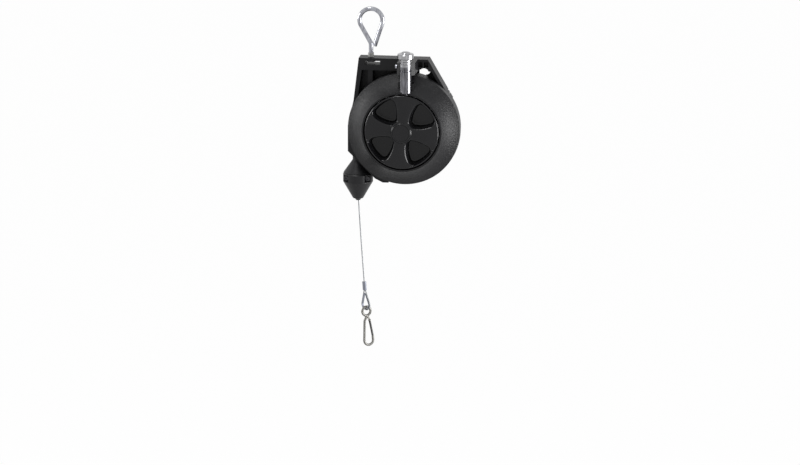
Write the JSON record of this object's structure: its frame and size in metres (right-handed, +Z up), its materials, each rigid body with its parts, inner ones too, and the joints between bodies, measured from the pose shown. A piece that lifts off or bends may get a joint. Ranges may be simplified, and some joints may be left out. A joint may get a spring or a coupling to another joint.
{
  "type": "spring tool balancer",
  "caption": "Hanging spring balancer: a tension knob and spring drum in a round housing under a swivel eye, with a rope, rope stop and snap hook for a hand tool.",
  "frame": {"origin": "seat of the suspension eye: the inside of its top, where a ceiling hook or pin carries the balancer", "axes": "+Z up along the eye's shank, front (tension knob) towards -Y, +X to the right seen from the front, where the drum is"},
  "size_m": [0.1385, 0.0849, 0.4009],
  "materials": {
    "shell": "moulded black, satin",
    "cover": "moulded black with a fine spark-eroded grain",
    "gloss_black": "moulded black, polished",
    "stop_rubber": "moulded black, satin",
    "zinc_steel": "bright zinc plate",
    "black_screw": "blackened steel",
    "grey_nylon": "grey moulded nylon",
    "chrome": "chrome plate",
    "bearing_bronze": "sintered bronze",
    "drum_plastic": "natural glass-filled nylon",
    "wire_rope": "galvanised stranded wire",
    "crimp_metal": "pressed bright metal",
    "machined_steel": "turned steel, oiled",
    "spring_steel": "blued spring steel",
    "hook_nickel": "nickel plate, a little worn"
  },
  "bodies": {
    "housing": {"back_housing": "shell", "front_cover": "cover", "cover_screws": "black_screw", "rear_bearing": "bearing_bronze", "front_bearing": "bearing_bronze", "rear_cap": "gloss_black", "lock_sleeve": "chrome", "lock_ring": "chrome", "sleeve_screw": "zinc_steel", "rope_bush": "grey_nylon", "eye_collar": "grey_nylon", "rope_lead": "wire_rope", "lock_spring": "spring_steel"},
    "swivel_eye": {"suspension_eye": "zinc_steel", "eye_washer": "black_screw", "eye_nut": "black_screw"},
    "drum": {"rope_drum": "drum_plastic", "drum_lid": "drum_plastic", "lid_screws": "black_screw", "front_drum_bush": "bearing_bronze", "rear_drum_bush": "bearing_bronze", "rope_winding": "wire_rope", "rope_nipple": "crimp_metal", "mainspring": "spring_steel", "spring_post": "machined_steel"},
    "knob": {"tension_knob": "gloss_black", "hub_disc": "gloss_black", "knob_screw": "zinc_steel", "index_ring": "machined_steel", "spring_arbor": "machined_steel", "arbor_spacer": "machined_steel", "spring_core": "machined_steel", "arbor_circlip": "spring_steel"},
    "lock": {"lock_pin": "chrome", "lock_cap": "chrome"},
    "rope_end": {"buffer_front": "stop_rubber", "buffer_back": "stop_rubber", "buffer_screws": "black_screw", "rope_crimp": "crimp_metal", "rope": "wire_rope", "ferrule": "crimp_metal", "rope_loop": "wire_rope", "thimble": "crimp_metal"},
    "snap_hook": {"hook_body": "hook_nickel", "gate_rivet": "hook_nickel"},
    "gate": {"hook_gate": "hook_nickel"}
  },
  "joints": [
    {"name": "eye_swivel", "type": "hinge", "parent": "housing", "child": "swivel_eye", "pos_m": [0, 0, -0.05], "axis": [0, 0, 1], "continuous": true},
    {"name": "drum_spin", "type": "hinge", "parent": "housing", "child": "drum", "pos_m": [0.041, 0, -0.1334], "axis": [0, -1, 0], "range_deg": [0, 1630], "stiffness_Nm_per_rad": 0.004, "springref_deg": -4812.85},
    {"name": "rope_payout", "type": "slide", "parent": "housing", "child": "rope_end", "axis": [0, 0, -1], "range_m": [0, 1.6], "deforming": ["rope_lead"]},
    {"name": "knob_turn", "type": "hinge", "parent": "housing", "child": "knob", "pos_m": [0.041, 0, -0.1334], "axis": [0, 1, 0], "continuous": true},
    {"name": "lock_lift", "type": "slide", "parent": "housing", "child": "lock", "axis": [0, 0, 1], "range_m": [0, 0.006], "stiffness_N_per_m": 400, "springref_m": -0.005, "deforming": ["lock_spring"]},
    {"name": "hook_swing", "type": "hinge", "parent": "rope_end", "child": "snap_hook", "pos_m": [-0.00575, 0, -0.35245], "axis": [0.817, -0.5736, 0.06], "range_deg": [-60, 60]},
    {"name": "gate_open", "type": "hinge", "parent": "snap_hook", "child": "gate", "pos_m": [-0.00214, 0.00184, -0.36583], "axis": [-0.572, 0.8192, -0.042], "range_deg": [0, 20], "stiffness_Nm_per_rad": 0.02, "springref_deg": -20.05}
  ],
  "couplings": [
    {"joint": "rope_payout", "follows": "drum_spin", "m_per_rad": 0.0562}
  ]
}
